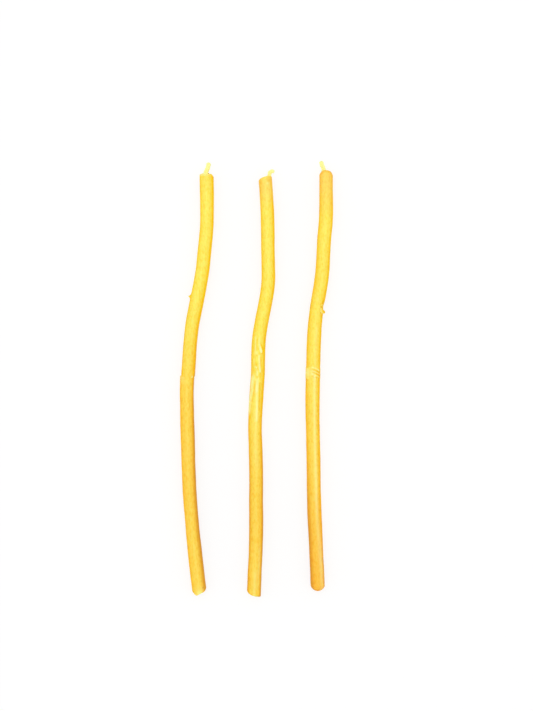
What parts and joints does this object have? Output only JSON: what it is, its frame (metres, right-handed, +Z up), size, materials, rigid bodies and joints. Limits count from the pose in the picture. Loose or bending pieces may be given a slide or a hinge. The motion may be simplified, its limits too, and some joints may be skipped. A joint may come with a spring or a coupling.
{
  "type": "beeswax taper candle set",
  "caption": "Slim hand-dipped beeswax tapers, gently bent, lying side by side with bent cotton wick stubs; butts fit small candle sockets.",
  "frame": {"origin": "centre of the set on the surface that the candles lie on", "axes": "+Z up from that surface, +Y along the candles towards the wicks, +X to the right of the row"},
  "size_m": [0.0727, 0.2069, 0.0069],
  "materials": {
    "wax_coat": "satin golden beeswax, hand-dipped, slightly uneven",
    "wax_core": "paler beeswax of the first dips",
    "wick_cotton": "plaited cotton soaked in wax"
  },
  "bodies": {
    "middle_candle": {"middle_wax_coat": "wax_coat", "middle_wax_core": "wax_core", "middle_wick": "wick_cotton"},
    "left_candle": {"left_wax_coat": "wax_coat", "left_wax_core": "wax_core", "left_wick": "wick_cotton"},
    "right_candle": {"right_wax_coat": "wax_coat", "right_wax_core": "wax_core", "right_wick": "wick_cotton"},
    "middle_wick_end": {"middle_wick_tip": "wick_cotton"},
    "left_wick_end": {"left_wick_tip": "wick_cotton"},
    "right_wick_end": {"right_wick_tip": "wick_cotton"}
  },
  "joints": [
    {"name": "left_lift", "type": "slide", "parent": "middle_candle", "child": "left_candle", "axis": [0, 0, 1], "range_m": [0, 0.05]},
    {"name": "right_lift", "type": "slide", "parent": "middle_candle", "child": "right_candle", "axis": [0, 0, 1], "range_m": [0, 0.05]},
    {"name": "middle_wick_bend", "type": "hinge", "parent": "middle_candle", "child": "middle_wick_end", "pos_m": [0.0059, 0.09685, 0.00334], "axis": [0, 0, 1], "range_deg": [-39, 71]},
    {"name": "left_wick_bend", "type": "hinge", "parent": "left_candle", "child": "left_wick_end", "pos_m": [-0.02411, 0.09814, 0.0034], "axis": [0, 0, 1], "range_deg": [-27, 83]},
    {"name": "right_wick_bend", "type": "hinge", "parent": "right_candle", "child": "right_wick_end", "pos_m": [0.03181, 0.09985, 0.00345], "axis": [0, 0, 1], "range_deg": [-82, 28]}
  ]
}
